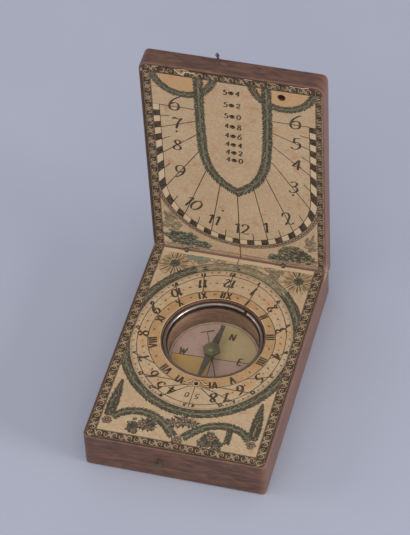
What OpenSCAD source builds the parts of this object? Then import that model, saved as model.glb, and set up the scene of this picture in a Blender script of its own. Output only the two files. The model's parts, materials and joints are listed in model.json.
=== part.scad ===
// Diptych sundial: two wooden leaves with printed dials, joined by wire hinges, with a compass
// let into the lower leaf. It is drawn open, with the lid leaning a little forward from its mitred
// stop, as it stood in the photograph.
// X runs along the fold, Y towards the lid and Z up. The origin is the middle of the underside.

/* [Leaves] */
// Width of both leaves
leaf_w = 60; // [54:0.5:75]
// Length of the inner faces, from the fold to the free ends
leaf_l = 85.5; // [82:0.5:110]
// Height of the fold above the underside, which is the thickness of the lower leaf
base_t = 14; // [13:0.5:20]
// Thickness of the lid
lid_t = 7.2; // [6.2:0.1:10]
// How far the mitred hinge edges reach past the fold
mitre = 4.5; // [3.5:0.1:5]
// Angle by which the lid leans forward from its upright stop
lid_lean = 1.1; // [0:0.1:5]
// Gap between the papers when shut, and between the mitred edges at the stop
fold_gap = 0.1; // [0.06:0.02:0.3]
// Radius of the lower leaf's front corners, seen from above
corner_r = 2.2; // [0.6:0.1:3]
// Radius of the lid's upper corners, seen from the front
lid_corner_r = 3.2; // [0.6:0.1:4]
// Radius of the worn outer edges
edge_r = 0.9; // [0.4:0.1:1.5]
// Radius of the edges beside the papers
rim_r = 0.4; // [0.2:0.1:0.8]

/* [Papers] */
// Thickness of the two printed dials
paper_t = 0.16; // [0.08:0.02:0.3]
// Bare wood left round each paper
paper_margin = 0.5; // [0.3:0.1:2]
// Bare wood left between each paper and the fold
fold_margin = 0.3; // [0.2:0.1:1]
// How far a hole in a paper stands back from the edge of the hole in the wood
paper_setback = 0.2; // [0.05:0.05:0.5]

/* [Compass] */
// Distance from the fold to the middle of the well
well_reach = 36.4; // [35.6:0.1:37.6]
// Distance from the middle of the leaf to the middle of the well, to the right
well_aside = 0.4; // [0:0.1:1]
// Distance from the fold to the needle's pin
pivot_reach = 37.6; // [36:0.1:38.4]
// Radius of the well
well_r = 15.1; // [14:0.1:16.5]
// Width of the ledge that the glass lies on
ledge_w = 1.7; // [1.3:0.1:2.4]
// Wood left under the well
floor_t = 4.2; // [3:0.1:4.6]
// Depth of the top of the glass below the fold
glass_depth = 2.1; // [1.7:0.1:2.4]
// Thickness of the glass
glass_t = 1; // [0.8:0.1:1.2]
// Gap round the glass and the card
disc_gap = 0.1; // [0.05:0.05:0.3]
// Thickness of the compass card
card_t = 0.2; // [0.1:0.05:0.4]
// Wire diameter of the ring that holds the glass down
ring_wire_d = 1.2; // [0.8:0.1:1.4]
// Gap between the ring and the glass and wall that it springs against
ring_gap = 0.04; // [0.02:0.01:0.1]
// Angle of the split in the ring
ring_split = 4; // [2:1:12]
// Direction of the split, anticlockwise from the right
ring_split_at = 62; // [0:1:359]

/* [Needle] */
// Length of the needle
needle_l = 23; // [16:0.2:24.2]
// Width of the needle at its middle
needle_w = 3; // [2.3:0.1:3.4]
// Width of the needle at its ends
needle_end_w = 1.1; // [0.4:0.1:1.6]
// Thickness of the needle
needle_t = 0.35; // [0.2:0.05:0.6]
// Height of the needle above the card
needle_lift = 3.9; // [3.5:0.1:4]
// Angle of the north end at rest, clockwise from straight back
needle_turn = 6.5; // [-45:0.5:45]
// Width across the flats of the six-sided cap
cap_w = 5.4; // [3.6:0.1:6]
// Thickness of the cap's plate
cap_t = 0.7; // [0.5:0.05:0.8]
// Radius of the boss that passes through the needle
boss_r = 0.95; // [0.85:0.05:1.05]
// Length of the boss below the needle
boss_drop = 0.7; // [0.4:0.1:1]
// Radius of the pin that the needle turns on
pivot_r = 0.5; // [0.35:0.05:0.6]
// Length of the pin's point
pivot_point = 0.8; // [0.5:0.1:1]
// Depth of the pin in the floor of the well
pivot_root = 2.4; // [1:0.1:2.8]
// Radial gap between the pin and the cap
pivot_gap = 0.06; // [0.02:0.01:0.1]

/* [String holes] */
// Distance from the fold to the string's hole in the lower leaf
string_reach = 56.5; // [56:0.1:58]
// Radius of the string's holes
string_r = 0.5; // [0.3:0.05:0.8]
// Lowest latitude of the lid's holes, in degrees
lat_low = 40; // [36:1:46]
// Highest latitude of the lid's holes, in degrees
lat_high = 54; // [48:1:54]
// Step from one latitude to the next, in degrees
lat_step = 2; // [1:1:4]
// Radius of the hole in the lid's upper corner
corner_hole_r = 1.2; // [0.6:0.1:2]
// Distance from the corner hole to the lid's right edge
corner_hole_in = 13.6; // [8:0.1:20]
// Distance from the corner hole to the lid's free end
corner_hole_down = 6.4; // [5:0.1:14]

/* [Hinges] */
// Distance from the left side to the middle of the left hinge
hinge_left_in = 11.8; // [6:0.1:18]
// Distance from the right side to the middle of the right hinge
hinge_right_in = 14.6; // [6:0.1:18]
// Radius of the hinge wire
wire_r = 0.3; // [0.3:0.01:0.4]
// Outer radius of a hinge eye
eye_r = 0.9; // [0.85:0.05:1.4]
// Radial gap between an eye and the wire that runs in it
run_gap = 0.05; // [0.02:0.01:0.1]
// Gap between a moving wire and what it passes
wire_gap = 0.2; // [0.15:0.05:0.4]
// Gap between a wire and the hole that it is driven into
drive_gap = 0.02; // [0.01:0.01:0.05]
// Radius of an eye's split shank
shank_r = 0.35; // [0.35:0.05:0.5]
// Height at which the eyes' shanks leave the back of the lower leaf
shank_exit = 2.5; // [2:0.1:3]
// Length of each wire end turned over against the wood
clinch_l = 2.6; // [1.5:0.1:4]

/* [Catch] */
// Distance from the left side to the middle of the catch's pin
catch_in = 23.9; // [8:0.1:40]
// Height of the peg above the underside
peg_z = 7.2; // [4:0.1:9]
// Radius of the peg's neck
peg_r = 0.6; // [0.4:0.05:0.8]
// Radius of the peg's head
peg_head_r = 1.1; // [0.9:0.05:1.2]
// Thickness of the peg's head
peg_head_t = 0.6; // [0.4:0.1:1.2]
// Depth of the peg and the catch's hook in the wood
root_l = 5.5; // [3:0.1:6]
// Radius of the wire that the catch's hook and link are bent from
catch_wire_r = 0.2; // [0.18:0.01:0.24]
// Gap at each side of the link on its pin
catch_gap = 0.12; // [0.08:0.02:0.3]
// Length of the hook on the lid's free end, up to the back of the lid
hook_l = 4.4; // [3:0.1:5]
// How far the hook runs to the right on its way to the front
hook_aside = 1.2; // [0:0.1:2]
// Distance of the link's pin behind the lid
pivot_back = 0.75; // [0.75:0.05:1.4]
// Distance of the link's pin beyond the lid's free end
pivot_up = 0.35; // [0.35:0.05:0.8]
// Inner radius of the loop at the link's free end
loop_r = 1.6; // [1.3:0.05:2]
// Distance of the loop's middle to the right of the link's wire
loop_aside = 1.2; // [0:0.1:1.5]

/* [Hidden] */
$fn = 48;

wood = [0.36, 0.27, 0.24];
paper = [0.70, 0.60, 0.48];
brass = [0.55, 0.50, 0.36];
iron = [0.28, 0.26, 0.26];

// Planes of the leaves
fold_y = (leaf_l - mitre) / 2;
front_y = fold_y - leaf_l;
rear_y = fold_y + mitre;
fold_z = base_t;
paper_top = fold_z - fold_gap / 2;
wood_top = paper_top - paper_t;
lid_paper_y = fold_y + fold_gap / 2;
lid_wood_y = lid_paper_y + paper_t;
lid_back_y = fold_y + lid_t;
lid_top = fold_z + leaf_l;
bevel_shift = fold_gap / sqrt(2);
through = 4 * leaf_l;
corner_steps = 6;

// Heights in the compass
well_y = fold_y - well_reach;
pivot_y = fold_y - pivot_reach;
seat_r = well_r + ledge_w;
card_top = floor_t + card_t;
glass_top = fold_z - glass_depth;
glass_under = glass_top - glass_t;
needle_under = card_top + needle_lift;
cap_under = needle_under + needle_t;
hollow_tip = cap_under + cap_t;
pivot_tip = hollow_tip - 2 * pivot_gap;

// Places of the small parts
hinge_left_x = hinge_left_in - leaf_w / 2;
hinge_right_x = leaf_w / 2 - hinge_right_in;
catch_x = catch_in - leaf_w / 2;
catch_side = catch_wire_r + catch_gap;
hook_x = catch_side + catch_wire_r;
hook_run = pivot_back + hook_l;
peg_x = catch_x + loop_aside;
knee_r = 1.05 * catch_wire_r;
string_y = fold_y - string_reach;
latitudes = [for (lat = [lat_low : lat_step : lat_high]) lat];
corner_hole_x = leaf_w / 2 - corner_hole_in;
corner_hole_z = lid_top - corner_hole_down;
leg_x = shank_r + wire_gap + wire_r;
shank_lean = atan(mitre / (fold_z - shank_exit));
shank_l = norm([mitre, fold_z - shank_exit]);
link_y = lid_back_y + pivot_back;
link_z = lid_top + pivot_up;
link_l = fold_z + lid_t + pivot_back - peg_z;
link_eye_r = 3 * catch_wire_r + run_gap;

function unit(v) = v / norm(v);

// Points of the arc of radius r that rounds the corner b between its neighbours a and c
function rounded_corner(a, b, c, r) = r == 0 ? [b] :
    let (
        u = unit(a - b),
        v = unit(c - b),
        half = acos(u * v) / 2,
        centre = b + unit(u + v) * r / sin(half),
        arm = b + u * r / tan(half) - centre,
        turn = sign(cross(b - a, c - b)) * (180 - 2 * half)
    )
    [for (i = [0 : corner_steps])
        let (t = turn * i / corner_steps)
        centre + [arm.x * cos(t) - arm.y * sin(t), arm.x * sin(t) + arm.y * cos(t)]];

// An outline with each corner rounded by its own radius
function rounded(points, radii) =
    let (n = len(points))
    [for (i = [0 : n - 1])
        each rounded_corner(points[(i + n - 1) % n], points[i], points[(i + 1) % n], radii[i])];

function box_outline(low, high, radii) =
    rounded([low, [high.x, low.y], high, [low.x, high.y]], radii);

// Extrudes an outline drawn in Y and Z along X, and one drawn in X and Z along Y
module along_x(outline, length) {
    rotate([90, 0, 90]) linear_extrude(length, center = true) polygon(outline);
}

module along_y(outline, length) {
    rotate([90, 0, 0]) linear_extrude(length, center = true) polygon(outline);
}

// A block with rounded edges, where three outlines seen square to each other meet
module worn_block(side, plan, front) {
    intersection() {
        along_x(side, through);
        linear_extrude(through, center = true) polygon(plan);
        along_y(front, through);
    }
}

// A rod of radius r along X, Y or Z from the point that it is placed at
module rod_x(r, length) {
    rotate([0, 90, 0]) cylinder(r = r, h = length, center = true);
}

module rod_back(r, length) {
    rotate([-90, 0, 0]) cylinder(r = r, h = length);
}

module at_hinge(x) {
    translate([x, fold_y, fold_z]) children();
}

// Turns the lid and its fittings about the fold, from the stop to where the lid leans
module leaning() {
    at_hinge(0) rotate([lid_lean, 0, 0]) translate([0, -fold_y, -fold_z]) children();
}

// Room in both leaves for the eyes, which the lid turns round
module eye_pockets() {
    for (x = [hinge_left_x, hinge_right_x])
        at_hinge(x) rod_x(eye_r + wire_gap, 2 * (shank_r + wire_gap));
}

// The straight part of an eye's shank, from the fold to the back of the lower leaf
module eye_shank(r, from, to) {
    rotate([180 + shank_lean, 0, 0]) translate([0, 0, from]) cylinder(r = r, h = to - from);
}

// An eye on a split shank, driven through the mitred edge and opened out at the back
module hinge_eye(x) {
    at_hinge(x) {
        difference() {
            union() {
                rod_x(eye_r, 2 * shank_r);
                eye_shank(shank_r, 0, shank_l + wire_r);
            }
            rod_x(wire_r + run_gap, 4 * shank_r);
        }
        for (side = [-1, 1])
            translate([side * clinch_l / 2, mitre + wire_r + drive_gap, shank_exit - fold_z])
                rod_x(wire_r, clinch_l);
    }
}

// A bar on the fold line, on two legs that pass through the lid and are turned over behind it
module hinge_staple(x) {
    at_hinge(x) {
        rod_x(wire_r, 2 * leg_x);
        for (side = [-1, 1]) translate([side * leg_x, 0, 0]) {
            sphere(r = wire_r);
            rod_back(wire_r, lid_t + wire_r + drive_gap);
            translate([0, lid_t + wire_r + drive_gap, 0]) {
                sphere(r = wire_r);
                translate([side * clinch_l / 2, 0, 0]) rod_x(wire_r, clinch_l);
            }
        }
    }
}

// The end of the catch's hook that is driven into the lid's free end
module hook_root(r) {
    translate([hook_x + hook_aside, -hook_run, -pivot_up - root_l])
        cylinder(r = r, h = pivot_up + root_l);
}

module base_block() {
    bevel_z = fold_z - mitre - bevel_shift;
    color(wood) difference() {
        worn_block(
            rounded(
                [[front_y, 0], [rear_y, 0], [rear_y, bevel_z],
                    [fold_y + fold_z - wood_top - bevel_shift, wood_top], [front_y, wood_top]],
                [edge_r, edge_r, rim_r, 0, rim_r]),
            box_outline([-leaf_w / 2, front_y], [leaf_w / 2, rear_y],
                [corner_r, corner_r, edge_r, edge_r]),
            box_outline([-leaf_w / 2, 0], [leaf_w / 2, wood_top], [edge_r, edge_r, rim_r, rim_r]));
        translate([well_aside, well_y, floor_t]) cylinder(r = well_r, h = fold_z, $fn = 96);
        translate([well_aside, well_y, glass_under]) cylinder(r = seat_r, h = fold_z, $fn = 96);
        translate([0, pivot_y, floor_t - pivot_root])
            cylinder(r = pivot_r + drive_gap, h = fold_z);
        translate([0, string_y, -1]) cylinder(r = string_r, h = fold_z + 2);
        translate([peg_x, front_y - 1, peg_z]) rod_back(peg_r + drive_gap, root_l + 1);
        eye_pockets();
        for (x = [hinge_left_x, hinge_right_x]) at_hinge(x) {
            rod_x(wire_r + wire_gap, 2 * (leg_x + wire_r + wire_gap));
            eye_shank(shank_r + drive_gap, 0, shank_l + fold_z);
        }
    }
}

module base_dial_paper() {
    color(paper) difference() {
        translate([0, 0, wood_top]) linear_extrude(paper_t)
            polygon(box_outline(
                [-leaf_w / 2 + paper_margin, front_y + paper_margin],
                [leaf_w / 2 - paper_margin, fold_y - fold_margin], [corner_r, corner_r, 0, 0]));
        translate([well_aside, well_y, 0])
            cylinder(r = seat_r + paper_setback, h = 2 * fold_z, $fn = 96);
        translate([0, string_y, 0]) cylinder(r = string_r + paper_setback, h = 2 * fold_z);
        eye_pockets();
    }
}

module compass_card() {
    color(paper) difference() {
        translate([well_aside, well_y, floor_t])
            cylinder(r = well_r - disc_gap, h = card_t, $fn = 96);
        translate([0, pivot_y, 0]) cylinder(r = pivot_r + disc_gap, h = fold_z);
    }
}

module compass_pivot() {
    color(brass) translate([0, pivot_y, 0]) {
        translate([0, 0, floor_t - pivot_root])
            cylinder(r = pivot_r, h = pivot_tip - pivot_point - floor_t + pivot_root);
        translate([0, 0, pivot_tip - pivot_point])
            cylinder(r1 = pivot_r, r2 = 0, h = pivot_point);
    }
}

module compass_needle() {
    color(iron) translate([0, pivot_y, needle_under]) rotate(-needle_turn) difference() {
        linear_extrude(needle_t)
            polygon([[-needle_w, 0] / 2, [-needle_end_w, -needle_l] / 2, [needle_end_w, -needle_l] / 2,
                [needle_w, 0] / 2, [needle_end_w, needle_l] / 2, [-needle_end_w, needle_l] / 2]);
        translate([0, 0, -1]) cylinder(r = boss_r + drive_gap, h = needle_t + 2);
    }
}

module needle_cap() {
    boss_z = needle_under - boss_drop;
    hollow_r = pivot_r + pivot_gap;
    crown_r = pivot_r + 2 * cap_t;
    color(brass) translate([0, pivot_y, 0]) rotate(-needle_turn) difference() {
        union() {
            translate([0, 0, cap_under]) cylinder(d = cap_w / cos(30), h = cap_t, $fn = 6);
            translate([0, 0, cap_under + cap_t / 2]) cylinder(r1 = crown_r, r2 = pivot_r, h = cap_t);
            translate([0, 0, boss_z]) cylinder(r = boss_r, h = cap_under + cap_t / 2 - boss_z);
        }
        translate([0, 0, boss_z - 1])
            cylinder(r = hollow_r, h = hollow_tip - pivot_point - boss_z + 1);
        translate([0, 0, hollow_tip - pivot_point]) cylinder(r1 = hollow_r, r2 = 0, h = pivot_point);
    }
}

module compass_glass() {
    color([0.8, 0.85, 0.85, 0.3]) translate([well_aside, well_y, glass_under])
        cylinder(r = seat_r - disc_gap, h = glass_t, $fn = 96);
}

module glass_ring() {
    wire = ring_wire_d / 2;
    color(iron) translate([well_aside, well_y, glass_top + ring_gap + wire])
        rotate(ring_split_at + ring_split / 2)
            rotate_extrude(angle = 360 - ring_split, $fn = 96)
                translate([seat_r - ring_gap - wire, 0]) circle(r = wire, $fn = 24);
}

module hinge_eye_left() {
    color(iron) hinge_eye(hinge_left_x);
}

module hinge_eye_right() {
    color(iron) hinge_eye(hinge_right_x);
}

module catch_peg() {
    neck = pivot_up + catch_wire_r + wire_gap;
    color(brass) translate([peg_x, front_y, peg_z]) {
        translate([0, -neck, 0]) rod_back(peg_r, neck + root_l - drive_gap);
        translate([0, -neck - peg_head_t, 0]) rod_back(peg_head_r, peg_head_t);
    }
}

module lid_block() {
    foot_z = fold_z - mitre;
    color(wood) leaning() difference() {
        worn_block(
            rounded(
                [[lid_wood_y, fold_z + bevel_shift - lid_wood_y + fold_y],
                    [rear_y + bevel_shift, foot_z], [lid_back_y, foot_z], [lid_back_y, lid_top],
                    [lid_wood_y, lid_top]],
                [0, rim_r, edge_r, edge_r, rim_r]),
            box_outline([-leaf_w / 2, lid_wood_y], [leaf_w / 2, lid_back_y],
                [rim_r, rim_r, edge_r, edge_r]),
            box_outline([-leaf_w / 2, foot_z], [leaf_w / 2, lid_top],
                [edge_r, edge_r, lid_corner_r, lid_corner_r]));
        for (lat = latitudes)
            translate([0, fold_y, fold_z + string_reach * tan(lat)]) rod_back(string_r, 2 * lid_t);
        translate([corner_hole_x, fold_y, corner_hole_z]) rod_back(corner_hole_r, 2 * lid_t);
        eye_pockets();
        for (x = [hinge_left_x, hinge_right_x]) at_hinge(x) {
            rod_x(wire_r + drive_gap, 2 * (leg_x + wire_r + drive_gap));
            for (side = [-1, 1])
                translate([side * leg_x, 0, 0]) rod_back(wire_r + drive_gap, 2 * lid_t);
        }
        translate([catch_x, link_y, link_z]) hook_root(catch_wire_r + drive_gap);
    }
}

module lid_dial_paper() {
    color(paper) leaning() difference() {
        translate([0, lid_paper_y + paper_t / 2, 0])
            along_y(
                box_outline(
                    [-leaf_w / 2 + paper_margin, fold_z + fold_margin],
                    [leaf_w / 2 - paper_margin, lid_top - paper_margin],
                    [0, 0, lid_corner_r, lid_corner_r]),
                paper_t);
        for (lat = latitudes)
            translate([0, fold_y, fold_z + string_reach * tan(lat)])
                rod_back(string_r + paper_setback, lid_t);
        translate([corner_hole_x, fold_y, corner_hole_z])
            rod_back(corner_hole_r + paper_setback, lid_t);
        eye_pockets();
    }
}

module hinge_staple_left() {
    color(iron) leaning() hinge_staple(hinge_left_x);
}

module hinge_staple_right() {
    color(iron) leaning() hinge_staple(hinge_right_x);
}

// A wire driven into the lid's free end and bent back along it, with a headed pin for the link.
// The catch's wires swell a little where they are bent.
module catch_hook() {
    head_r = 1.7 * catch_wire_r;
    color(iron) leaning() translate([catch_x, link_y, link_z]) {
        translate([-catch_side - catch_wire_r / 2, 0, 0]) rod_x(head_r, catch_wire_r);
        translate([(hook_x - catch_side - catch_wire_r / 2) / 2, 0, 0])
            rod_x(catch_wire_r, hook_x + catch_side + catch_wire_r / 2);
        translate([hook_x, 0, 0]) {
            sphere(r = knee_r);
            rotate(180 + atan(hook_aside / hook_run))
                rod_back(catch_wire_r, norm([hook_aside, hook_run]));
        }
        translate([hook_x + hook_aside, -hook_run, 0]) sphere(r = knee_r);
        hook_root(catch_wire_r);
    }
}

// The link hangs behind the lid when it is open, and drops over the peg when it is shut
module catch_link() {
    bend_r = loop_r + knee_r;
    shank_end = link_l - sqrt(bend_r * bend_r - loop_aside * loop_aside);
    color(iron) leaning() translate([catch_x, link_y, link_z]) {
        difference() {
            union() {
                rod_x(link_eye_r, 2 * catch_wire_r);
                translate([0, 0, -shank_end]) cylinder(r = catch_wire_r, h = shank_end);
            }
            rod_x(catch_wire_r + run_gap, 4 * catch_wire_r);
        }
        translate([loop_aside, 0, -link_l]) rotate([90, 0, 0])
            rotate_extrude() translate([bend_r, 0]) circle(r = knee_r, $fn = 24);
    }
}

base_block();
base_dial_paper();
compass_card();
compass_pivot();
compass_needle();
needle_cap();
compass_glass();
glass_ring();
hinge_eye_left();
hinge_eye_right();
catch_peg();
lid_block();
lid_dial_paper();
hinge_staple_left();
hinge_staple_right();
catch_hook();
catch_link();
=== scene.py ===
"""A folding pocket sundial: worn wooden leaves with printed paper dials, wire hinges and a compass."""
import json
import math
import random

import bmesh
import bpy
from mathutils import Matrix, Quaternion, Vector, geometry


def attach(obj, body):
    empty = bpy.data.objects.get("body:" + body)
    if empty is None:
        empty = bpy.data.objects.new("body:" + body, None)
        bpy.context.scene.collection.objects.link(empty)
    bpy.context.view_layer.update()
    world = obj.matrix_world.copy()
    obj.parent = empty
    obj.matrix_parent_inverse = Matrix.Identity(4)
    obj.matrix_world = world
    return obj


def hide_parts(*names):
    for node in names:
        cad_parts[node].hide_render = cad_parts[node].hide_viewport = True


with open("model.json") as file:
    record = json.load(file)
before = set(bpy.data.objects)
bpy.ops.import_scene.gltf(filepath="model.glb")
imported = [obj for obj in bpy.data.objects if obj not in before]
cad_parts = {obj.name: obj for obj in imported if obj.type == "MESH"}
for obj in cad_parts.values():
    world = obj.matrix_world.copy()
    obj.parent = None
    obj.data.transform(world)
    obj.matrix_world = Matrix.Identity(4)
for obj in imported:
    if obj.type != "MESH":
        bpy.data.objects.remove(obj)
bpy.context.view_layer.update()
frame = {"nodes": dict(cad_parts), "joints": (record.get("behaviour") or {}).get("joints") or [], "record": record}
nodes = frame["nodes"]
joints = {joint["name"]: joint for joint in frame["joints"]}
mounts = {mount["name"]: mount for mount in frame["record"]["mounts"]}

MM = 0.001
fold = Vector(joints["lid_hinge"]["pos_m"]) / MM
pin = Vector(joints["needle_spin"]["pos_m"]) / MM
LEAN = Matrix.Rotation(math.radians(-joints["lid_hinge"]["range_deg"][0]), 3, "X")


def corners(name, turn=None):
    """Lowest and highest corner of a CAD node from the fold, in mm, along axes that are turned."""
    back = (turn or Matrix.Identity(3)).transposed()
    places = [back @ (v.co / MM - fold) for v in nodes[name].data.vertices]
    return tuple(Vector(end(p[axis] for p in places) for axis in range(3)) for end in (min, max))


def lid_hole(name):
    """Place of a hole on the lid's dial: across, and up from the fold."""
    place = LEAN.transposed() @ (Vector(mounts[name]["pos_m"]) / MM - fold)
    return place.x, place.z


def well():
    """The middle of the well, and the radius of its card."""
    low, high = corners("compass_card")
    return fold + (low + high) / 2, (high.x - low.x) / 2


# Camera and light

def put_in_scene(name, data):
    """A new object in the scene."""
    made = bpy.data.objects.new(name, data)
    bpy.context.scene.collection.objects.link(made)
    return made


def point_at(thing, place, target, roll=0.0):
    """Puts a camera or lamp in its place and turns it to a target."""
    thing.location = place
    thing.rotation_mode = "QUATERNION"
    facing = (target - place).to_track_quat("-Z", "Y")
    thing.rotation_quaternion = facing @ Quaternion((0, 0, 1), roll)


def make_camera():
    """A long lens above the front right corner, turned a little about its own axis."""
    data = bpy.data.cameras.new("camera")
    data.lens = 171.4
    data.sensor_width = 36
    data.clip_start, data.clip_end = 0.05, 20
    camera = put_in_scene("camera", data)
    place = Vector((162.15, -521.78, 642.97)) * MM
    target = Vector((-10.19, 33.88, 14.0)) * MM
    point_at(camera, place, target, math.radians(-3.33))
    bpy.context.scene.camera = camera


def linear(code):
    """A colour written as sRGB hex, as the linear values that a shader takes."""
    parts = [int(code[i:i + 2], 16) / 255 for i in (1, 3, 5)]
    return [p / 12.92 if p <= 0.04045 else ((p + 0.055) / 1.055) ** 2.4 for p in parts] + [1.0]


def add(tree, kind, inputs=None, **settings):
    """Adds a node with its settings. Each input is a value, a socket, or a node whose output is linked."""
    made = tree.nodes.new("ShaderNode" + kind)
    for name, value in settings.items():
        setattr(made, name, value)
    for name, value in (inputs or {}).items():
        if isinstance(value, bpy.types.Node):
            value = next(output for output in value.outputs if output.enabled)
        if isinstance(value, bpy.types.NodeSocket):
            tree.links.new(value, made.inputs[name])
        else:
            made.inputs[name].default_value = value
    return made


def per_mm(size):
    """The scale of a pattern that repeats every so many mm, in object coordinates."""
    return 1 / (size * MM)


def make_light():
    """An overcast room: soft light from all round, a wide lamp high in front and a low one at each side."""
    world = bpy.data.worlds.new("room")
    bpy.context.scene.world = world
    world.use_nodes = True
    tree = world.node_tree
    tree.nodes.clear()
    rays = add(tree, "LightPath").outputs
    seen = add(tree, "Math", {0: rays["Is Camera Ray"], 1: rays["Is Glossy Ray"]}, operation="MAXIMUM")
    seen = add(tree, "Math", {0: seen, 1: rays["Is Transmission Ray"]}, operation="MAXIMUM")
    soft = add(tree, "Background", {"Color": linear("#e6e8ee"), "Strength": 0.66})
    backdrop = add(tree, "Background", {"Color": linear("#a4a8b8"), "Strength": 1.0})
    mixed = add(tree, "MixShader", {0: seen, 1: soft, 2: backdrop})
    add(tree, "OutputWorld", {"Surface": mixed})

    lamps = (("window", (0.0, -1.0, 1.1), 2.0, 11.5, "#fff6ea"),
             ("right_side", (1.9, -0.3, 0.32), 0.8, 43.0, "#fffaf4"),
             ("left_side", (-1.8, -0.4, 0.6), 1.0, 12.5, "#fff6ea"))
    for name, place, size, power, colour in lamps:
        data = bpy.data.lights.new(name, "AREA")
        data.size = size
        data.energy = power
        data.color = linear(colour)[:3]
        point_at(put_in_scene(name, data), Vector(place), Vector((0, 0, 0)))


def blank_material(name):
    """A new material, and its tree without nodes."""
    material = bpy.data.materials.new(name)
    material.use_nodes = True
    material.node_tree.nodes.clear()
    return material, material.node_tree


def make_floor():
    """A board far wider than the view, in matt blue-grey paint that clouds faintly."""
    material, tree = blank_material("painted_board")
    where = add(tree, "TexCoord").outputs["Object"]
    cloud = add(tree, "TexNoise", {"Vector": where, "Scale": per_mm(60), "Detail": 3.0})
    paint = add(tree, "Mix", {0: cloud, 6: linear("#a3a8ba"), 7: linear("#aaafc1")}, data_type="RGBA")
    shader = add(tree, "BsdfPrincipled", {"Base Color": paint, "Roughness": 0.9})
    add(tree, "OutputMaterial", {"Surface": shader})
    half = 1.5
    mesh = bpy.data.meshes.new("floor")
    outline = [(-half, -half, 0), (half, -half, 0), (half, half, 0), (-half, half, 0)]
    mesh.from_pydata(outline, [], [(0, 1, 2, 3)])
    mesh.materials.append(material)
    put_in_scene("floor", mesh)


# Drawing in mm

def smooth(points, steps=5):
    """A flowing line through the given points."""
    last = len(points) - 1
    found = []
    for i in range(last):
        span = [points[max(i - 1, 0)], points[i], points[i + 1], points[min(i + 2, last)]]
        for step in range(steps):
            t = step / steps
            shares = (-t + 2 * t * t - t ** 3, 2 - 5 * t * t + 3 * t ** 3,
                      t + 4 * t * t - 3 * t ** 3, t ** 3 - t * t)
            found.append(tuple(sum(s * p[axis] for s, p in zip(shares, span)) / 2 for axis in (0, 1)))
    return found + [points[-1]]


def oval(centre, rx, ry=None, start=0, end=360, count=72):
    """Points on an ellipse, anticlockwise from the right. A full turn leaves out the repeated point."""
    ry = rx if ry is None else ry
    whole = abs(end - start) >= 360
    angles = [math.radians(start + (end - start) * i / count) for i in range(count + (not whole))]
    return [(centre[0] + rx * math.cos(a), centre[1] + ry * math.sin(a)) for a in angles]


def turned(points, at, turn=0.0, size=1.0):
    """Points scaled, turned anticlockwise by degrees, and then moved to a place."""
    c, s = math.cos(math.radians(turn)) * size, math.sin(math.radians(turn)) * size
    return [(at[0] + x * c - y * s, at[1] + x * s + y * c) for x, y in points]


def step_from(at, turn, ahead, aside=0.0):
    """The place reached from another by a step ahead and a step aside."""
    return turned([(ahead, aside)], at, turn)[0]


def along(line, gap, closed=False):
    """Places every so many mm along a line, each with the line's direction in degrees."""
    ends = line + line[:1] if closed else line
    found, walked, due = [], 0.0, gap / 2
    for (ax, ay), (bx, by) in zip(ends, ends[1:]):
        length = math.hypot(bx - ax, by - ay)
        while length > 0 and due <= walked + length:
            share = (due - walked) / length
            found.append(((ax + (bx - ax) * share, ay + (by - ay) * share),
                          math.degrees(math.atan2(by - ay, bx - ax))))
            due += gap
        walked += length
    return found


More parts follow.
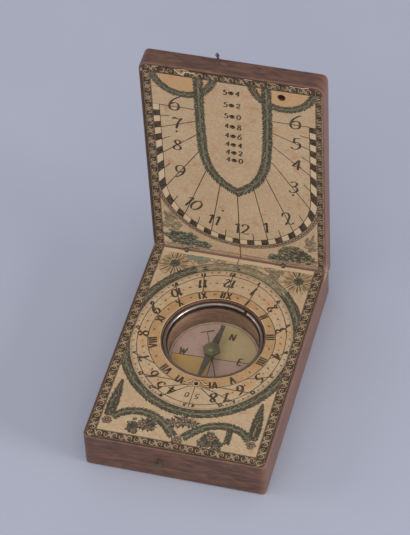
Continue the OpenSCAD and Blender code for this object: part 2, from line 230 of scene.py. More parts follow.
# Engraved figures: each stroke is a list of points, and figures stand one unit high. A stroke
# through more than two points is smoothed.
FIGURES = {
    "0": [[(0.3, 1), (0.1, 0.82), (0.03, 0.5), (0.1, 0.18), (0.3, 0), (0.5, 0.18), (0.57, 0.5),
           (0.5, 0.82), (0.3, 1)]],
    "1": [[(0.1, 0.8), (0.32, 1)], [(0.32, 1), (0.3, 0)]],
    "2": [[(0.06, 0.74), (0.14, 0.93), (0.32, 1), (0.5, 0.88), (0.5, 0.64), (0.3, 0.32),
           (0.04, 0.04)],
          [(0.04, 0.04), (0.2, 0.11), (0.42, 0), (0.6, 0.12)]],
    "3": [[(0.06, 0.88), (0.26, 1), (0.48, 0.88), (0.42, 0.64), (0.2, 0.54)],
          [(0.2, 0.54), (0.46, 0.5), (0.57, 0.27), (0.42, 0.04), (0.18, 0), (0.04, 0.14)]],
    "4": [[(0.44, 1), (0.02, 0.32)], [(0.02, 0.32), (0.62, 0.32)], [(0.44, 1), (0.42, 0)]],
    "5": [[(0.16, 0.97), (0.54, 1.03)], [(0.16, 0.97), (0.12, 0.55)],
          [(0.12, 0.55), (0.32, 0.63), (0.54, 0.5), (0.55, 0.22), (0.36, 0.01), (0.14, 0.02),
           (0.03, 0.14)]],
    "6": [[(0.56, 1.08), (0.42, 1.0), (0.16, 0.74), (0.03, 0.36), (0.12, 0.07), (0.32, 0),
           (0.52, 0.1), (0.57, 0.32), (0.48, 0.54), (0.3, 0.6), (0.1, 0.46)]],
    "7": [[(0, 0.84), (0.14, 1), (0.4, 0.88), (0.64, 1)], [(0.05, 0.9), (0.3, 0.92)],
          [(0.64, 1), (0.4, 0.58), (0.32, 0)]],
    "8": [[(0.5, 0.84), (0.34, 1), (0.14, 0.9), (0.14, 0.7), (0.34, 0.52), (0.54, 0.34),
           (0.52, 0.1), (0.3, 0), (0.08, 0.12), (0.08, 0.34), (0.3, 0.54), (0.48, 0.7), (0.5, 0.84)]],
    "9": [[(0.04, -0.08), (0.18, 0), (0.44, 0.26), (0.57, 0.64), (0.48, 0.93), (0.28, 1),
           (0.08, 0.9), (0.03, 0.68), (0.12, 0.46), (0.3, 0.4), (0.5, 0.54)]],
    "I": [[(0.15, 1), (0.15, 0)]],
    "V": [[(0.02, 1), (0.3, 0)], [(0.3, 0), (0.56, 1)]],
    "X": [[(0.04, 1), (0.54, 0)], [(0.54, 1), (0.04, 0)]],
    "N": [[(0.06, 0), (0.06, 1)], [(0.06, 1), (0.56, 0)], [(0.56, 0), (0.56, 1)]],
    "E": [[(0.1, 0), (0.1, 1)], [(0.1, 1), (0.54, 1)], [(0.1, 0.52), (0.44, 0.52)], [(0.1, 0), (0.56, 0)]],
    "S": [[(0.52, 0.84), (0.34, 1), (0.1, 0.84), (0.22, 0.58), (0.46, 0.42), (0.54, 0.16),
           (0.3, 0), (0.06, 0.16)]],
    "W": [[(0, 1), (0.2, 0)], [(0.2, 0), (0.4, 0.8)], [(0.4, 0.8), (0.6, 0)], [(0.6, 0), (0.8, 1)]],
}
ADVANCE = {"I": 0.32, "1": 0.5, "W": 0.9}
PLAIN_ADVANCE = 0.7
BORDER = 3.2
SCROLL_GAP = 2.5


def pen_widths(line, thick, thin):
    """Widths of a broad pen's stroke: thick down the page and thin across it."""
    widths = []
    for i in range(len(line)):
        a, b = line[max(i - 1, 0)], line[min(i + 1, len(line) - 1)]
        dx, dy = b[0] - a[0], b[1] - a[1]
        down = abs(dy) / (math.hypot(dx, dy) or 1)
        widths.append(thin + (thick - thin) * down ** 1.5)
    return widths


class Drawing:
    """A flat picture. Each patch of colour covers those before it."""

    def __init__(self, seed):
        self.patches = []
        self.chance = random.Random(seed)

    def vary(self, low, high):
        """A seeded random number between two."""
        return self.chance.uniform(low, high)

    def patch(self, ink, points):
        """A closed outline, kept anticlockwise."""
        area = sum(a[0] * b[1] - b[0] * a[1] for a, b in zip(points, points[1:] + points[:1])) / 2
        if abs(area) > 1e-4:
            self.patches.append((ink, points if area > 0 else points[::-1]))

    def ribbon(self, ink, line, width, closed=False):
        """A band along a line. Its width is a number, or one for each point."""
        widths = list(width) if isinstance(width, (list, tuple)) else [width] * len(line)
        if closed:
            line, widths = line + line[:1], widths + widths[:1]
        last = len(line) - 1
        sides = []
        for i, (x, y) in enumerate(line):
            before = line[i - 1] if i else line[-2 if closed else 0]
            after = line[i + 1] if i < last else line[1 if closed else -1]
            dx, dy = after[0] - before[0], after[1] - before[1]
            half = widths[i] / 2 / (math.hypot(dx, dy) or 1)
            sides.append(((x - dy * half, y + dx * half), (x + dy * half, y - dx * half)))
        for (a, b), (c, d) in zip(sides, sides[1:]):
            self.patch(ink, [b, d, c, a])

    def figures(self, text, at, height, turn, thick, thin, slant=0.12):
        """Figures in printer's ink, centred on a place and turned about it."""
        starts, x = [], 0.0
        for letter in text:
            starts.append(x)
            x += ADVANCE.get(letter, PLAIN_ADVANCE)
        shift = (x - 0.1) / 2
        for letter, start in zip(text, starts):
            for stroke in FIGURES[letter]:
                line = smooth(stroke, steps=4) if len(stroke) > 2 else stroke
                line = [((px + start - shift + slant * (py - 0.5)) * height, (py - 0.5) * height)
                        for px, py in line]
                self.ribbon("ink", turned(line, at, turn), pen_widths(line, thick, thin))

    def leaf(self, ink, at, length, width, turn):
        """A pointed leaf that grows from a place."""
        half = [(0.25, 0.42), (0.55, 0.46), (0.85, 0.18)]
        outline = [(0, 0)] + half + [(1, 0)] + [(x, -y) for x, y in half[::-1]]
        self.patch(ink, turned([(x * length, y * width) for x, y in outline], at, turn))

    def garland(self, line, width, gap=0.75, wash="green", dark="leaf"):
        """A band of laurel: a wash under rows of dark leaves, of which the outer ones pass its edges."""
        widths = width if isinstance(width, list) else [width] * len(line)
        self.ribbon(wash, line, [w * 0.88 for w in widths])
        stations = along(line, gap)
        for i, (place, turn) in enumerate(stations):
            w = widths[min(int(i / len(stations) * len(widths)), len(widths) - 1)]
            for offset, lean, length in ((0.12, 24, 0.5), (0.3, 44, 0.46)):
                for side in (-1, 1):
                    foot = step_from(place, turn, 0, side * offset * w)
                    reach = w * length * self.vary(0.8, 1.15)
                    self.leaf(dark, foot, reach, 0.2 * w, turn + side * (lean + self.vary(-9, 9)))
            foot = step_from(place, turn, 0, self.vary(-0.3, 0.3) * w)
            mark = "worn_leaf" if wash == "leaf" else "teal" if self.chance.random() < 0.3 else "bloom"
            self.leaf(mark, foot, 0.4 * w, 0.12 * w, turn + self.vary(-30, 30))

    def flower(self, at, r, petals=6, ink="flower"):
        """A small round flower with outlined petals."""
        for i in range(petals):
            turn = 360 * i / petals + self.vary(-8, 8)
            centre = step_from(at, turn, r * 0.6)
            self.patch("ink", oval(centre, r * 0.42, r * 0.36, count=9))
            self.patch(ink, oval(centre, r * 0.3, r * 0.25, count=9))
        self.patch("ink", oval(at, r * 0.3, count=9))
        self.patch("tint", oval(at, r * 0.17, count=8))

    def sprig(self, at, count, reach, width, start=0, end=360, ink="leaf"):
        """Leaves round a place."""
        for i in range(count):
            turn = start + (end - start) * (i + 0.5) / count + self.vary(-12, 12)
            self.leaf(ink, at, reach * self.vary(0.75, 1.1), width, turn)

    def clump(self, at, rx, ry, washes, count, dark="leaf"):
        """A bush: rounded tufts of leaves in several greens, each with its dark shade under it."""
        self.patch(dark, oval(at, rx * 0.85, ry * 0.7, count=18))
        for i in range(count):
            turn, far = self.vary(0, 360), math.sqrt(self.vary(0, 1))
            x = at[0] + rx * far * math.cos(math.radians(turn))
            y = at[1] + ry * far * math.sin(math.radians(turn))
            size = self.vary(0.5, 0.95)
            lean = self.vary(-30, 30)
            shade = oval((0, 0), size, size * 0.75, count=9)
            light = oval((0, 0), size * 0.8, size * 0.5, count=9)
            self.patch(dark, turned(shade, (x, y - 0.2), lean))
            self.patch(washes[i % len(washes)], turned(light, (x, y + 0.1), lean))

    def scroll_border(self, start, end, width):
        """A running scroll, pale on a dark ground, with a fine line at each side."""
        self.ribbon("ground", [start, end], width)
        r, fine = width * 0.27, width / BORDER
        curl = oval((0, 0), r, r * 0.95, -130, 120, 9)
        swelling = [(0.26 + 0.03 * k) * fine for k in range(10)]
        tail = smooth([(-r * 0.2, -r * 1.2), (-r * 1.1, -r * 0.6), (-r * 1.6, r * 0.7),
                       (-r * 2.1, r * 1.2)], steps=3)
        for i, (place, turn) in enumerate(along([start, end], SCROLL_GAP)):
            flip = 180 * (i % 2)
            self.ribbon("scroll", turned(curl, place, turn + 90 + flip), swelling)
            self.ribbon("scroll", turned(tail, place, turn + flip), 0.36 * fine)
            self.patch("scroll", turned(oval((0.05, 0), 0.22 * fine, count=7), place, turn))
        shift = Vector((start[1] - end[1], end[0] - start[0])).normalized() * width
        for share in (-0.42, 0.42):
            edge = [(x + shift.x * share, y + shift.y * share) for x, y in (start, end)]
            self.ribbon("scroll", edge, 0.1)


def hour_angle(hour, sine):
    """Clockwise angle of an hour line from noon, for the sine of the string's lean on the dial."""
    turn = math.radians(15 * (hour - 12))
    return math.degrees(math.atan2(sine * math.sin(turn), math.cos(turn)))


def ray_to_oval(origin, turn, centre, rx, ry):
    """Where a ray at a clockwise angle from straight up leaves an ellipse that holds its origin."""
    dx, dy = math.sin(math.radians(turn)), math.cos(math.radians(turn))
    ox, oy = origin[0] - centre[0], origin[1] - centre[1]
    a = (dx / rx) ** 2 + (dy / ry) ** 2
    b = 2 * (ox * dx / rx ** 2 + oy * dy / ry ** 2)
    c = (ox / rx) ** 2 + (oy / ry) ** 2 - 1
    inside = b * b - 4 * a * c
    if inside < 0:
        return None
    reach = (-b + math.sqrt(inside)) / (2 * a)
    return origin[0] + dx * reach, origin[1] + dy * reach


def ragged(low, high, chance, round_low=0.0, round_high=0.0):
    """A rectangle's outline with slightly worn edges and round corners, kept inside it."""
    line = []
    for x, y, r, start in ((low[0], low[1], round_low, 180), (high[0], low[1], round_low, 270),
                           (high[0], high[1], round_high, 0), (low[0], high[1], round_high, 90)):
        centre = (x + math.copysign(r, -x), y + (r if y == low[1] else -r))
        line += oval(centre, r, start=start, end=start + 90, count=6) if r else [(x, y)]
    found = []
    gap, wear = 0.9, 0.12
    middle = ((low[0] + high[0]) / 2, (low[1] + high[1]) / 2)
    for (x, y), _ in along(line, gap, closed=True):
        pull = chance.uniform(0, wear)
        found.append((x + math.copysign(pull, middle[0] - x), y + math.copysign(pull, middle[1] - y)))
    return found


# Both dials, in mm: x across and y from the fold, below zero on the lower leaf and above it on the lid

DIAL_LATITUDE = math.radians(50)
LEAF_HALF = 29.5
BASE_CORNER, LID_CORNER = 2.2, 3.2
HINGE_HALF, HINGE_REACH = 0.57, 1.1


def draw_fold_stripes(d, side):
    """The pasted edges along the fold: rubbed pale on the lower leaf, two pinkish lines on the lid."""
    half = 2 * int(LEAF_HALF - 0.3)
    on_lid = ((0.65, 1.25, "braid"), (0.3, 0.35, "dot"), (1.9, 0.85, "braid"))
    for level, width, ink in on_lid if side > 0 else ((1.1, 1.8, "pale"),):
        line = [(x / 2, side * (level + d.vary(-0.06, 0.06))) for x in range(-half, half + 1, 3)]
        d.ribbon(ink, line, [width * d.vary(0.7, 1.1) for _ in line])


def open_for_hinges(d, side):
    """Cuts the slots for the hinge eyes, on the side of the fold that is drawn."""
    for name in ("hinge_eye_left", "hinge_eye_right"):
        low, high = corners(name)
        x = (low.x + high.x) / 2
        d.patch("hole", [(x - HINGE_HALF, -side), (x + HINGE_HALF, -side),
                         (x + HINGE_HALF, side * HINGE_REACH), (x - HINGE_HALF, side * HINGE_REACH)])


# The lower dial, whose rings are given by their half width and half height

HOURS = range(4, 21)
LOWER_SINE = math.sin(DIAL_LATITUDE)
ROOT = (0, mounts["string_hole"]["pos_m"][1] / MM - fold.y)
RINGS_AT = (0, -36.8)
ROMAN, ARABIC, OUTER, WREATH = (21, 21), (24.3, 28.25), (26.7, 30.7), (28.3, 32.1)
WELL_AT = tuple(well()[0] - fold)[:2]
WELL_R = 17.05


def draw_lower_dial():
    """The horizontal dial: rings of hours round the compass, lines from the string's hole, and garlands."""
    d = Drawing(11)
    low, high = corners("base_dial_paper")
    front, rear = low.y, high.y
    d.patch("paper", ragged((low.x, front), (high.x, rear), d.chance, round_low=BASE_CORNER))
    for x, y, r in ((-20.5, -6.8, 6.6), (22, -6, 6.8)):
        draw_sunburst(d, (x, y), r)
    draw_fold_sprays(d)
    draw_fold_stripes(d, -1)
    tint_rings(d)
    draw_lower_hours(d, rear)
    draw_ring_figures(d)
    draw_wreath(d)
    draw_root_ornament(d)
    draw_front_garlands(d)
    draw_lower_borders(d, front, rear)
    d.patch("hole", oval(WELL_AT, WELL_R - 0.05, count=96))
    d.patch("hole", oval(ROOT, 0.7, count=16))
    open_for_hinges(d, -1)
    return d


def draw_sunburst(d, at, r):
    """A sunflower of thin brown rays over pale yellow ones, with a dark leafy middle."""
    for i in range(18):
        turn = 360 * i / 18 + d.vary(-6, 6)
        d.leaf("straw", step_from(at, turn, r * 0.3), r * d.vary(0.4, 0.62), 0.8, turn)
    for i in range(44):
        turn = 360 * i / 44 + d.vary(-4, 4)
        reach = r * d.vary(0.6, 1)
        d.leaf("ochre" if i % 3 else "ink", step_from(at, turn, r * 0.25), reach * 0.78, 0.36, turn)
    for _ in range(22):
        centre = step_from(at, d.vary(0, 360), r * d.vary(0.5, 0.95))
        start = d.vary(0, 360)
        d.ribbon("ochre", oval(centre, r * 0.16, r * 0.12, start, start + 150, 6), 0.22)
    d.patch("green", oval(at, r * 0.27, count=14))
    d.sprig(at, 16, r * 0.4, 0.4)


def draw_fold_sprays(d):
    """Brushed leaves between the wreath and the fold, teal at the left and olive further right."""
    for ink, *shape in (("teal", (-13.2, -2.9), 4.6, 1.5), ("sage", (-7.4, -2.6), 3.6, 0.9),
                        ("sage", (5.0, -2.8), 3.6, 1.0), ("ochre", (13.8, -4.6), 1.6, 2.6)):
        d.patch(ink, oval(*shape, count=24))
    for spray in (((-13.4, -3.2), 3.6, 1.6, ("teal", "bush", "teal"), 30),
                  ((-6.8, -2.7), 3.4, 0.8, ("olive", "sage", "pale"), 12),
                  ((4.6, -2.9), 3.0, 0.9, ("teal", "sage", "sage"), 16),
                  ((11.0, -2.5), 3.4, 0.9, ("olive", "sage", "pale"), 14),
                  ((13.6, -5.2), 1.3, 2.4, ("olive", "green", "flower"), 18)):
        d.clump(*spray, dark="worn_leaf")
    for _ in range(12):
        at = (d.vary(-17.5, -11), d.vary(-3.8, -2.1))
        d.leaf("teal", at, d.vary(1.6, 3.4), 0.7, d.vary(-14, 4))
    for at in ((-12.8, -4.8), (12.2, -4.0), (15.6, -3.0)):
        d.sprig(at, 7, 1.5, 0.5, ink="flower")


def tint_rings(d):
    """Orange wash on the ring of Roman hours, strokes of it on the next, and paper rubbed by the well."""
    d.ribbon("tint", oval(RINGS_AT, ROMAN[0] - 2, count=96), 4, closed=True)
    for start, end in ((-68, -24), (-14, 30), (38, 62), (118, 150), (168, 206), (222, 246)):
        stroke = oval(RINGS_AT, 22.7, 24.8, start, end, 14)
        widths = [d.vary(1.6, 2.8) * math.sin(math.pi * (i + 0.4) / 15) for i in range(15)]
        d.ribbon("peach", stroke, widths)
    rubbed = oval(WELL_AT, WELL_R + 0.4, start=20, end=200, count=60)
    d.ribbon("pale", rubbed, [0.1 + d.vary(0, 0.4) for _ in rubbed])


def draw_lower_hours(d, rear):
    """Hour lines from the string's hole out through the rings, with their dots, and the noon line."""
    for hour in HOURS:
        turn = hour_angle(hour, LOWER_SINE)
        if 6 < hour < 18:
            near = ray_to_oval(ROOT, turn, RINGS_AT, *ROMAN)
        else:
            near = step_from(ROOT, -turn, 0, 1.8)
        d.ribbon("ink", [near, ray_to_oval(ROOT, turn, RINGS_AT, *OUTER)], 0.32)
        if hour < HOURS[-1]:
            draw_hour_dots(d, hour)
    d.ribbon("ink", [(0, rear), ray_to_oval(ROOT, 0, RINGS_AT, *ROMAN)], 0.28)
    d.ribbon("ink", [(0, ROOT[1] - 1.5), (0, RINGS_AT[1] - OUTER[1])], 0.26)


def draw_hour_dots(d, hour):
    """Dots for the half hour and the quarters after an hour, in the middle of each ring that they cross."""
    by_day = 6 <= hour < 18
    inner = ROMAN if by_day else (ROMAN[0] + 1.2, ROMAN[0] + 1.2)
    marks = [(0.5, OUTER, ARABIC, 0.72), (0.5, ARABIC, inner, 0.8)]
    marks += [(part, *rings, 0.58) for part in (0.25, 0.75) for rings in ((OUTER, ARABIC), (ARABIC, inner))]
    if by_day:
        marks += [(0.5, inner, (WELL_R + 1, WELL_R + 1), 0.8)]
    for part, big, small, size in marks:
        turn = hour_angle(hour + part, LOWER_SINE)
        p, q = ray_to_oval(ROOT, turn, RINGS_AT, *big), ray_to_oval(ROOT, turn, RINGS_AT, *small)
        if p and q:
            at = ((p[0] + q[0]) / 2, (p[1] + q[1]) / 2)
            lozenge = [(-size, 0), (0, -0.6 * size), (size, 0), (0, 0.6 * size)]
            d.patch("dot", turned(lozenge, at, -turn, 0.8))


def draw_ring_figures(d):
    """Roman hours next to the glass, large figures outside them and small ones in the outer ring."""
    roman = ["VI", "VII", "VIII", "IX", "X", "XI", "XII", "I", "II", "III", "IIII", "V", "VI"]
    for hour, name in enumerate(roman, 6):
        at = ray_to_oval(ROOT, hour_angle(hour, LOWER_SINE), RINGS_AT, 19.3, 19.3)
        if at is None or hour in (6, 18):
            at = (5.6 * (1 if hour > 12 else -1), ROOT[1] + 0.5)
        d.figures(name, at, 2.8, 180 + upright(at), 0.72, 0.34, slant=0)
    beside_root = {4: (6.9, -4.6), 5: (11.2, -3.4), 6: (14.6, 0.6)}
    for hour in HOURS:
        shown = str(hour if hour <= 12 else hour - 12)
        side = 1 if hour > 12 else -1
        crowded = beside_root.get(min(hour, 24 - hour))
        for rings, height, thick, thin in (((22.7, 24.9), 3.5, 0.82, 0.36), ((25.5, 29.5), 2.0, 0.58, 0.34)):
            at = ray_to_oval(ROOT, hour_angle(hour, LOWER_SINE), RINGS_AT, *rings)
            if crowded and height > 2:
                at = (crowded[0] * side, ROOT[1] + crowded[1])
            d.figures(shown, at, height, 180 + upright(at) * 0.85, thick, thin)
    for text, x, drop, height in (("5", 1.7, 5.2, 2.0), ("0", -1.7, 5.2, 2.0), ("4", 1.4, 9.2, 1.5),
                                  ("8", -1.4, 9.2, 1.5)):
        d.figures(text, (x, ROOT[1] - drop), height, 180, 0.4, 0.24)


def upright(at):
    """The turn of a figure that follows the rings, never upside down."""
    rise = math.degrees(math.atan2(at[1] - RINGS_AT[1], at[0] - RINGS_AT[0])) - 90
    return rise if -90 < rise < 90 else rise + 180


def draw_wreath(d):
    """The lines between the rings, and the laurel wreath round them, rubbed thin next to the fold."""
    d.ribbon("ink", oval(RINGS_AT, *ROMAN, count=96), 0.26, closed=True)
    d.ribbon("ink", oval(WELL_AT, WELL_R + 0.1, count=96), 0.3, closed=True)
    d.ribbon("ink", oval(RINGS_AT, *ARABIC, count=110), 0.26, closed=True)
    rubbed = oval(RINGS_AT, *WREATH, start=46, end=118, count=40)
    d.garland(rubbed, 3.1, wash="worn_green", dark="worn_leaf")
    for (x, y), turn in along(oval(RINGS_AT, *WREATH, start=48, end=116, count=40), 0.9):
        if d.chance.random() < 0.6:
            ink = d.chance.choice(("green", "teal", "leaf", "worn_green"))
            d.leaf(ink, (x, y + d.vary(-0.9, 0.9)), d.vary(1, 2.4), 1.0, turn)
    d.garland(oval(RINGS_AT, *WREATH, start=116, end=408, count=130), 3.1)
    for ring, out, count, ink, width in ((OUTER, -0.45, 110, "worn_green", 0.9), (OUTER, 0, 110, "ink", 0.3),
                                         (WREATH, 1.5, 120, "ink", 0.2)):
        line = oval(RINGS_AT, ring[0] + out, ring[1] + out, count=count)
        d.ribbon(ink, line, width, closed=True)


def draw_root_ornament(d):
    """A small eye with scrolled wings, where the hour lines meet."""
    y = ROOT[1]
    for side in (-1, 1):
        wing = smooth([(0, y + 0.9), (side * 1.5, y + 1.3), (side * 2.6, y + 0.2), (side * 3.6, y + 0.5)])
        d.ribbon("ink", wing, 0.95)
        d.ribbon("pale", wing, 0.42)
        foot = smooth([(side * 0.5, y - 0.8), (side * 1.5, y - 1.4), (side * 2.4, y - 0.9)])
        d.ribbon("ink", foot, 0.6)
        d.ribbon("pale", foot, 0.3)
    for ink, r, count in (("ink", 1.45, 20), ("pale", 1.2, 20), ("ink", 0.85, 16)):
        d.patch(ink, oval(ROOT, r, count=count))


def draw_front_garlands(d):
    """Upright laurel sprays in the front corners, two swags between them, and the flowers they hang from."""
    for x, lean in ((-24, 0.4), (23.4, -0.3)):
        spray = [(x + lean * (1 - i / 12), -60 - 15.6 * i / 12) for i in range(13)]
        widths = [0.8 + 2.4 * math.sin(math.pi * min(1, (12 - i) / 12 * 0.62 + 0.02)) for i in range(13)]
        d.garland(spray[::-1], widths, gap=0.55, wash="leaf")
        d.flower((x, -77.4), 1.75)
    swag = ((22.6, -76), (19.5, -73), (14, -71.7), (8.6, -73), (4.6, -76), (1.6, -79.2))
    for side in (-1, 1):
        d.garland(smooth([(side * x, y) for x, y in swag]), 2.7, gap=0.62)
    for at, rx, ry in (((-15.4, -78.2), 1.9, 3.4), ((-11.0, -76.2), 3.2, 2.4),
                       ((9.4, -78.0), 2.6, 3.4), ((12.4, -79.6), 2.0, 2.6)):
        d.clump(at, rx, ry, ("bush", "bloom", "teal", "green"), 22)
        d.sprig(at, 9, rx * 1.15, 0.8)
    for at in ((0, -80.4), (-12.6, -76.6), (10.4, -77.2)):
        d.sprig(at, 7, 2.8, 1.1, 190, 350)
        d.flower(at, 1.8)
    for at in ((-14.6, -79.8), (-10.2, -77.8), (12.6, -80.4), (8.2, -80.2)):
        d.sprig(at, 6, 1.9, 0.8)
        d.flower(at, 1.1, 5)
    for at, r in (((0, -72.6), 1.9), ((-3.4, -74.0), 1.3), ((3.2, -73.2), 1.3)):
        d.sprig(at, 8, r * 2.1, 1.2)
        d.sprig(at, 5, r * 1.7, 1.0, ink="teal")
        d.flower(at, r)
    d.garland([(15.5, -72.6), (15.7, -75.6), (15.7, -78.6)], 2.0, gap=0.6, wash="leaf")


def draw_lower_borders(d, front, rear):
    """The dark rim and the scroll borders along the front and both sides."""
    edge, inner = LEAF_HALF - 0.15, LEAF_HALF - BASE_CORNER
    half = [(inner, front + 0.15), (edge, front + BASE_CORNER), (edge, rear)]
    d.ribbon("ground", [(-x, y) for x, y in half[::-1]] + half, 0.5)
    middle = LEAF_HALF - 0.2 - BORDER / 2
    for side in (-1, 1):
        d.scroll_border((side * middle, front + 0.2), (side * middle, rear), BORDER)
    level = front + 0.2 + BORDER / 2
    d.scroll_border((-middle + BORDER / 2, level), (middle - BORDER / 2, level), BORDER)


# The upper dial

UPPER_SINE = math.cos(DIAL_LATITUDE)
UPPER_ROOT = (0.5, 68)
HALF_RINGS = (-15.7, 16.8)
LATITUDES = range(40, 55, 2)
FRAME_CENTRE, FRAME_HALF, FRAME_DEPTH = (0.62, 34), 24.6, 24.3
BAND, BRAID = 2.3, 1.5


def draw_upper_dial():
    """The vertical dial: hours round a chequered frame, garlands, and the labelled latitude holes."""
    d = Drawing(23)
    low, high = corners("lid_dial_paper", LEAN)
    foot, top = low.z, high.z
    d.patch("paper", ragged((low.x, foot), (high.x, top), d.chance, round_high=LID_CORNER))
    for x in HALF_RINGS:
        d.patch("peach", oval((x, 84.2), 10.2, 10.4, 180, 360, 24))
    draw_bushes(d)
    draw_fold_stripes(d, 1)
    draw_frame_band(d)
    draw_upper_hours(d)
    for x in HALF_RINGS:
        d.garland(oval((x, 84.5), 10.3, 10.5, 360, 180, 30), 2.5, gap=0.65)
    draw_long_garland(d)
    for latitude in LATITUDES:
        y = lid_hole(f"latitude_{latitude}_hole")[1] + 0.1
        for x, figure in zip((-1.9, 2.2), str(latitude)):
            d.figures(figure, (x, y), 2.1, 0, 0.52, 0.3)
    draw_upper_borders(d, foot, top)
    for latitude in LATITUDES:
        at = lid_hole(f"latitude_{latitude}_hole")
        d.patch("ink", oval(at, 0.95, 0.85, count=14))
        d.patch("hole", oval(at, 0.7, count=14))
    d.patch("hole", oval(lid_hole("corner_hole"), 1.4, count=20))
    open_for_hinges(d, 1)
    return d


def draw_bushes(d):
    """Bushes in the lower corners: teal at the left, darker at the right, with brown sprays above them."""
    teal, dark = ("bush", "teal", "teal", "bush"), ("green", "bush", "olive")
    brown = ("olive", "worn_green", "ochre")
    for at, rx, ry, count in (((-22.4, 11.8), 3.8, 2.2, 26), ((-23.8, 15.6), 1.8, 2.2, 12),
                              ((24.8, 12.6), 2.0, 3.4, 22), ((25.4, 4.0), 1.8, 2.0, 10)):
        d.clump(at, rx, ry, brown, count, dark="worn_leaf")
    for bush in (((-19.8, 5.8), 6.2, 4.0, teal, 110), ((-12.8, 3.9), 3.2, 2.0, teal, 28),
                 ((13.4, 3.2), 3.0, 2.1, teal, 26), ((19.8, 6.0), 6.0, 4.3, dark, 110)):
        d.clump(*bush)
    for at, turn in (((-25.2, 18.2), -70), ((-22.6, 16.4), -50), ((26.2, 17.8), -110), ((24.4, 16.2), -120)):
        d.leaf("ochre", at, 3.4, 0.9, turn)
    for at in ((-16.4, 1.4), (-17.6, 2.2), (-14.8, 1.8), (16.8, 1.6), (18.2, 1.2)):
        d.sprig(at, 7, 1.5, 0.5)


def draw_upper_borders(d, foot, top):
    """Scroll borders up both sides and along the top, where the paper is stained and torn."""
    d.ribbon("ground", [(-LEAF_HALF + 0.3, foot), (-LEAF_HALF + 0.3, top - LID_CORNER)], 0.6)
    for x, width in ((-27.5, 2.8), (28.3, 2.2)):
        d.scroll_border((x, foot), (x, top - 0.1), width)
    d.scroll_border((-26.1, top - 1.6), (27.2, top - 1.6), 3.0)
    d.ribbon("ground", [(-26, top - 0.2), (27, top - 0.2)], 0.4)
    d.ribbon("ground", [(-26, top - 3.0), (27, top - 3.0)], 0.3)
    for _ in range(60):
        stain = (d.vary(-25, 26), top - d.vary(0.8, 2.6))
        d.patch("ground", oval(stain, d.vary(0.2, 0.6), d.vary(0.15, 0.35), count=8))
    gap = 0.7
    for start, end in ((-25.5, -22.5), (-17.6, -12.6), (4.5, 8), (12, 16), (19, 26)):
        torn = [(start + i * gap, top - 0.15 - d.vary(0, 0.3)) for i in range(int((end - start) / gap))]
        d.ribbon("pale", torn, [d.vary(0.1, 0.4) for _ in torn])
    tear = smooth([(-18.2, top - 0.4), (-15.8, top - 2.4), (-14.6, top - 1.0), (-11.6, top - 1.1)])
    d.ribbon("pale", tear, 0.5)


def frame_line(out, top=68.2):
    """The dial's frame, so far outside its inner line: down a side, round a half ellipse and up again."""
    arc = oval(FRAME_CENTRE, FRAME_HALF + out, FRAME_DEPTH + out, 180, 360, 36)
    return [(arc[0][0], top)] + arc + [(arc[-1][0], top)]


def ray_to_frame(turn, out):
    """Where a ray from the root meets the frame, so far out. Its angle turns from straight down."""
    dx, dy = math.sin(math.radians(turn)), -math.cos(math.radians(turn))
    side = FRAME_CENTRE[0] + math.copysign(FRAME_HALF + out, dx)
    level = UPPER_ROOT[1] + dy * (side - UPPER_ROOT[0]) / dx if dx else 0
    if level > FRAME_CENTRE[1]:
        return side, level
    return ray_to_oval(UPPER_ROOT, 180 - turn, FRAME_CENTRE, FRAME_HALF + out, FRAME_DEPTH + out)


# Each hour's figure on the upper dial: hour, across, up, height and turn
UPPER_FIGURES = ((6, -18.9, 69.2, 5.8, 0), (7, -18.6, 60.6, 5.0, 0), (8, -18.9, 50.5, 4.7, 0),
                 (9, -18.6, 38.3, 5.4, 0), (10, -15, 23.6, 5.3, -28), (11, -8.3, 17.3, 4.7, -10),
                 (12, 1.3, 15, 4.8, 0), (1, 9.6, 17.4, 4.7, 10), (2, 17.1, 23.6, 5.6, 24),
                 (3, 19.6, 39.2, 5.1, 0), (4, 20.8, 49.9, 4.7, 0), (5, 20.8, 59.6, 5.1, 0),
                 (6, 20.8, 69.2, 5.8, 0))


def draw_upper_hours(d):
    """Hour lines from the long garland to the frame, short half-hour ticks, and the hours' figures."""
    for step in range(-12, 13):
        turn = hour_angle(12 + step / 2, UPPER_SINE)
        end = ray_to_frame(turn, 0)
        across, up = end[0] - UPPER_ROOT[0], end[1] - UPPER_ROOT[1]
        reach = math.hypot(across, up)
        if step % 2:
            near = reach - 3.3
        elif abs(step) == 12:
            near = 11.6
        else:
            near = near_garland(turn)
        share = near / reach
        start = (UPPER_ROOT[0] + across * share, UPPER_ROOT[1] + up * share)
        d.ribbon("ink", [start, end], 0.32)
    for hour, x, y, height, turn in UPPER_FIGURES:
        d.figures(str(hour), (x, y), height, turn, 0.78, 0.3)
    for at in ((-18.8, 56.8), (19.4, 35.4), (-4.8, 22.4)):
        d.patch("ink", oval(at, 0.45, count=8))
    d.ribbon("ink", [(0.5, 0), (0.5, 31)], 0.34)


def near_garland(turn):
    """How far from the root the long garland lies in that direction."""
    bend = abs(turn) / 60
    return max(12.5, 38 - 25 * bend ** 0.8)


